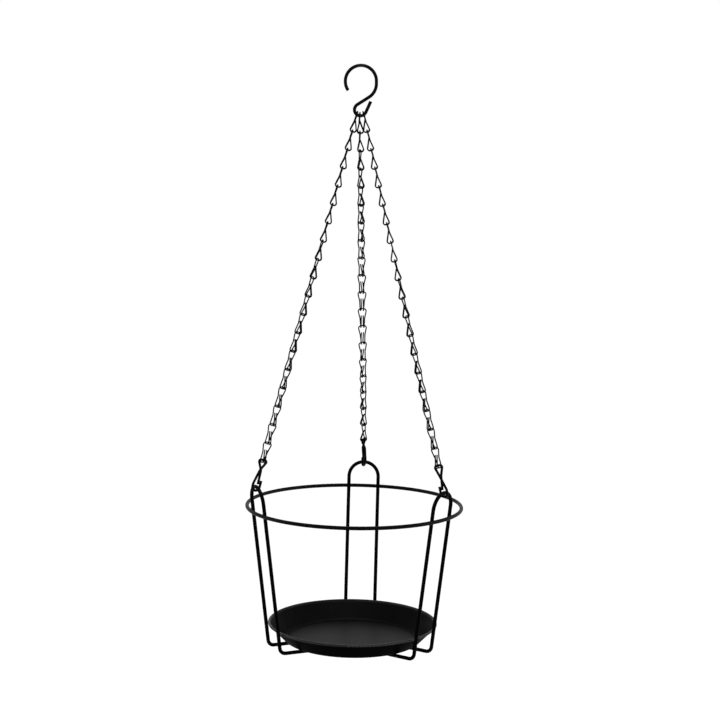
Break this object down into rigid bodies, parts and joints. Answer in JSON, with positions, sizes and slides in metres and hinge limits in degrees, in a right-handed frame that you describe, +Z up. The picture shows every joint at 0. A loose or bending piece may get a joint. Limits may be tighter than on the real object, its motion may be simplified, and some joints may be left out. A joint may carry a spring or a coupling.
{
  "type": "hanging pot holder",
  "caption": "Black powder-coated steel hanging pot holder: an S-hook, folded-wire chains with snap clips, and a round wire basket whose hairpin legs carry a shallow rolled-rim dish.",
  "frame": {"origin": "the point inside the top of the S-hook's large loop, where it bears on the rail", "axes": "+Z up along the basket's axis, +X to the viewer's right in the S-hook's plane, +Y to the back, towards the back leg"},
  "size_m": [0.28, 0.2816, 0.7413],
  "materials": {
    "wire_coat": "matte powder coat",
    "chain_coat": "satin black coat",
    "dish_coat": "satin powder coat"
  },
  "bodies": {
    "hook": {"s_hook": "wire_coat"},
    "basket": {"ring": "wire_coat", "dish": "dish_coat", "left_leg": "wire_coat", "right_leg": "wire_coat", "back_leg": "wire_coat"},
    "left_chain_01": {"left_chain_01": "chain_coat"},
    "left_chain_02": {"left_chain_02": "chain_coat"},
    "left_chain_03": {"left_chain_03": "chain_coat"},
    "left_chain_04": {"left_chain_04": "chain_coat"},
    "left_chain_05": {"left_chain_05": "chain_coat"},
    "left_chain_06": {"left_chain_06": "chain_coat"},
    "left_chain_07": {"left_chain_07": "chain_coat"},
    "left_chain_08": {"left_chain_08": "chain_coat"},
    "left_chain_09": {"left_chain_09": "chain_coat"},
    "left_clip": {"left_clip": "chain_coat"},
    "right_chain_01": {"right_chain_01": "chain_coat"},
    "right_chain_02": {"right_chain_02": "chain_coat"},
    "right_chain_03": {"right_chain_03": "chain_coat"},
    "right_chain_04": {"right_chain_04": "chain_coat"},
    "right_chain_05": {"right_chain_05": "chain_coat"},
    "right_chain_06": {"right_chain_06": "chain_coat"},
    "right_chain_07": {"right_chain_07": "chain_coat"},
    "right_chain_08": {"right_chain_08": "chain_coat"},
    "right_chain_09": {"right_chain_09": "chain_coat"},
    "right_clip": {"right_clip": "chain_coat"},
    "back_chain_01": {"back_chain_01": "chain_coat"},
    "back_chain_02": {"back_chain_02": "chain_coat"},
    "back_chain_03": {"back_chain_03": "chain_coat"},
    "back_chain_04": {"back_chain_04": "chain_coat"},
    "back_chain_05": {"back_chain_05": "chain_coat"},
    "back_chain_06": {"back_chain_06": "chain_coat"},
    "back_chain_07": {"back_chain_07": "chain_coat"},
    "back_chain_08": {"back_chain_08": "chain_coat"},
    "back_chain_09": {"back_chain_09": "chain_coat"},
    "back_clip": {"back_clip": "chain_coat"}
  },
  "joints": [
    {"name": "swing", "type": "hinge", "parent": "hook", "child": "basket", "pos_m": [0, 0, -0.06019], "axis": [1, 0, 0], "range_deg": [-20, 20]},
    {"name": "left_sway", "type": "hinge", "parent": "basket", "child": "left_chain_01", "pos_m": [-0.00344, 0.00052, -0.05527], "axis": [-0.8337, -0.4799, 0.2731], "range_deg": [-4, 4]},
    {"name": "left_chain_02_bend", "type": "hinge", "parent": "left_chain_01", "child": "left_chain_02", "pos_m": [-0.02017, -0.00951, -0.124], "axis": [-0.8337, -0.4799, 0.2731], "range_deg": [-1.72, 1.72]},
    {"name": "left_chain_03_bend", "type": "hinge", "parent": "left_chain_02", "child": "left_chain_03", "pos_m": [-0.03133, -0.0162, -0.16982], "axis": [-0.8337, -0.4799, 0.2731], "range_deg": [-1.38, 1.38]},
    {"name": "left_chain_04_bend", "type": "hinge", "parent": "left_chain_03", "child": "left_chain_04", "pos_m": [-0.04249, -0.02289, -0.21564], "axis": [-0.8337, -0.4799, 0.2731], "range_deg": [-1.38, 1.38]},
    {"name": "left_chain_05_bend", "type": "hinge", "parent": "left_chain_04", "child": "left_chain_05", "pos_m": [-0.05364, -0.02957, -0.26146], "axis": [-0.8337, -0.4799, 0.2731], "range_deg": [-1.38, 1.38]},
    {"name": "left_chain_06_bend", "type": "hinge", "parent": "left_chain_05", "child": "left_chain_06", "pos_m": [-0.0648, -0.03626, -0.30728], "axis": [-0.8337, -0.4799, 0.2731], "range_deg": [-1.38, 1.38]},
    {"name": "left_chain_07_bend", "type": "hinge", "parent": "left_chain_06", "child": "left_chain_07", "pos_m": [-0.07596, -0.04295, -0.3531], "axis": [-0.8337, -0.4799, 0.2731], "range_deg": [-1.38, 1.38]},
    {"name": "left_chain_08_bend", "type": "hinge", "parent": "left_chain_07", "child": "left_chain_08", "pos_m": [-0.08712, -0.04963, -0.39892], "axis": [-0.8337, -0.4799, 0.2731], "range_deg": [-1.38, 1.38]},
    {"name": "left_chain_09_bend", "type": "hinge", "parent": "left_chain_08", "child": "left_chain_09", "pos_m": [-0.09828, -0.05632, -0.44474], "axis": [-0.8337, -0.4799, 0.2731], "range_deg": [-1.36, 1.36]},
    {"name": "left_clip_turn", "type": "hinge", "parent": "left_chain_09", "child": "left_clip", "pos_m": [-0.10921, -0.06287, -0.48963], "axis": [-0.8337, -0.4799, 0.2731], "range_deg": [-1.18, 1.18]},
    {"name": "right_sway", "type": "hinge", "parent": "basket", "child": "right_chain_01", "pos_m": [0.00344, 0.00052, -0.05527], "axis": [0.8337, -0.4799, 0.2731], "range_deg": [-4, 4]},
    {"name": "right_chain_02_bend", "type": "hinge", "parent": "right_chain_01", "child": "right_chain_02", "pos_m": [0.02017, -0.00951, -0.124], "axis": [0.8337, -0.4799, 0.2731], "range_deg": [-1.72, 1.72]},
    {"name": "right_chain_03_bend", "type": "hinge", "parent": "right_chain_02", "child": "right_chain_03", "pos_m": [0.03133, -0.0162, -0.16982], "axis": [0.8337, -0.4799, 0.2731], "range_deg": [-1.38, 1.38]},
    {"name": "right_chain_04_bend", "type": "hinge", "parent": "right_chain_03", "child": "right_chain_04", "pos_m": [0.04249, -0.02289, -0.21564], "axis": [0.8337, -0.4799, 0.2731], "range_deg": [-1.38, 1.38]},
    {"name": "right_chain_05_bend", "type": "hinge", "parent": "right_chain_04", "child": "right_chain_05", "pos_m": [0.05364, -0.02957, -0.26146], "axis": [0.8337, -0.4799, 0.2731], "range_deg": [-1.38, 1.38]},
    {"name": "right_chain_06_bend", "type": "hinge", "parent": "right_chain_05", "child": "right_chain_06", "pos_m": [0.0648, -0.03626, -0.30728], "axis": [0.8337, -0.4799, 0.2731], "range_deg": [-1.38, 1.38]},
    {"name": "right_chain_07_bend", "type": "hinge", "parent": "right_chain_06", "child": "right_chain_07", "pos_m": [0.07596, -0.04295, -0.3531], "axis": [0.8337, -0.4799, 0.2731], "range_deg": [-1.38, 1.38]},
    {"name": "right_chain_08_bend", "type": "hinge", "parent": "right_chain_07", "child": "right_chain_08", "pos_m": [0.08712, -0.04963, -0.39892], "axis": [0.8337, -0.4799, 0.2731], "range_deg": [-1.38, 1.38]},
    {"name": "right_chain_09_bend", "type": "hinge", "parent": "right_chain_08", "child": "right_chain_09", "pos_m": [0.09828, -0.05632, -0.44474], "axis": [0.8337, -0.4799, 0.2731], "range_deg": [-1.36, 1.36]},
    {"name": "right_clip_turn", "type": "hinge", "parent": "right_chain_09", "child": "right_clip", "pos_m": [0.10921, -0.06287, -0.48963], "axis": [0.8337, -0.4799, 0.2731], "range_deg": [-1.18, 1.18]},
    {"name": "back_sway", "type": "hinge", "parent": "basket", "child": "back_chain_01", "pos_m": [-0.00059, -0.00104, -0.05661], "axis": [-0.0004, 0.9597, 0.2809], "range_deg": [-4, 4]},
    {"name": "back_chain_02_bend", "type": "hinge", "parent": "back_chain_01", "child": "back_chain_02", "pos_m": [-0.00051, 0.01902, -0.12514], "axis": [-0.0004, 0.9597, 0.2809], "range_deg": [-1.72, 1.72]},
    {"name": "back_chain_03_bend", "type": "hinge", "parent": "back_chain_02", "child": "back_chain_03", "pos_m": [-0.00045, 0.03239, -0.17082], "axis": [-0.0004, 0.9597, 0.2809], "range_deg": [-1.38, 1.38]},
    {"name": "back_chain_04_bend", "type": "hinge", "parent": "back_chain_03", "child": "back_chain_04", "pos_m": [-0.00039, 0.04577, -0.21651], "axis": [-0.0004, 0.9597, 0.2809], "range_deg": [-1.38, 1.38]},
    {"name": "back_chain_05_bend", "type": "hinge", "parent": "back_chain_04", "child": "back_chain_05", "pos_m": [-0.00033, 0.05914, -0.2622], "axis": [-0.0004, 0.9597, 0.2809], "range_deg": [-1.38, 1.38]},
    {"name": "back_chain_06_bend", "type": "hinge", "parent": "back_chain_05", "child": "back_chain_06", "pos_m": [-0.00027, 0.07251, -0.30788], "axis": [-0.0004, 0.9597, 0.2809], "range_deg": [-1.38, 1.38]},
    {"name": "back_chain_07_bend", "type": "hinge", "parent": "back_chain_06", "child": "back_chain_07", "pos_m": [-0.00021, 0.08589, -0.35357], "axis": [-0.0004, 0.9597, 0.2809], "range_deg": [-1.38, 1.38]},
    {"name": "back_chain_08_bend", "type": "hinge", "parent": "back_chain_07", "child": "back_chain_08", "pos_m": [-0.00016, 0.09926, -0.39925], "axis": [-0.0004, 0.9597, 0.2809], "range_deg": [-1.38, 1.38]},
    {"name": "back_chain_09_bend", "type": "hinge", "parent": "back_chain_08", "child": "back_chain_09", "pos_m": [-0.0001, 0.11263, -0.44494], "axis": [-0.0004, 0.9597, 0.2809], "range_deg": [-1.36, 1.36]},
    {"name": "back_clip_turn", "type": "hinge", "parent": "back_chain_09", "child": "back_clip", "pos_m": [-0.00004, 0.12574, -0.48971], "axis": [-0.0004, 0.9597, 0.2809], "range_deg": [-1.18, 1.18]}
  ],
  "couplings": [
    {"joint": "left_chain_02_bend", "follows": "left_sway", "ratio": -0.28719},
    {"joint": "left_chain_03_bend", "follows": "left_sway", "ratio": -0.22975},
    {"joint": "left_chain_04_bend", "follows": "left_sway", "ratio": -0.22975},
    {"joint": "left_chain_05_bend", "follows": "left_sway", "ratio": -0.22975},
    {"joint": "left_chain_06_bend", "follows": "left_sway", "ratio": -0.22975},
    {"joint": "left_chain_07_bend", "follows": "left_sway", "ratio": -0.22975},
    {"joint": "left_chain_08_bend", "follows": "left_sway", "ratio": -0.22975},
    {"joint": "left_chain_09_bend", "follows": "left_sway", "ratio": -0.22742},
    {"joint": "left_clip_turn", "follows": "left_sway", "ratio": -0.19587},
    {"joint": "right_chain_02_bend", "follows": "right_sway", "ratio": -0.28719},
    {"joint": "right_chain_03_bend", "follows": "right_sway", "ratio": -0.22975},
    {"joint": "right_chain_04_bend", "follows": "right_sway", "ratio": -0.22975},
    {"joint": "right_chain_05_bend", "follows": "right_sway", "ratio": -0.22975},
    {"joint": "right_chain_06_bend", "follows": "right_sway", "ratio": -0.22975},
    {"joint": "right_chain_07_bend", "follows": "right_sway", "ratio": -0.22975},
    {"joint": "right_chain_08_bend", "follows": "right_sway", "ratio": -0.22975},
    {"joint": "right_chain_09_bend", "follows": "right_sway", "ratio": -0.22742},
    {"joint": "right_clip_turn", "follows": "right_sway", "ratio": -0.19587},
    {"joint": "back_chain_02_bend", "follows": "back_sway", "ratio": -0.28716},
    {"joint": "back_chain_03_bend", "follows": "back_sway", "ratio": -0.22973},
    {"joint": "back_chain_04_bend", "follows": "back_sway", "ratio": -0.22973},
    {"joint": "back_chain_05_bend", "follows": "back_sway", "ratio": -0.22973},
    {"joint": "back_chain_06_bend", "follows": "back_sway", "ratio": -0.22973},
    {"joint": "back_chain_07_bend", "follows": "back_sway", "ratio": -0.22973},
    {"joint": "back_chain_08_bend", "follows": "back_sway", "ratio": -0.22973},
    {"joint": "back_chain_09_bend", "follows": "back_sway", "ratio": -0.22744},
    {"joint": "back_clip_turn", "follows": "back_sway", "ratio": -0.19594}
  ]
}
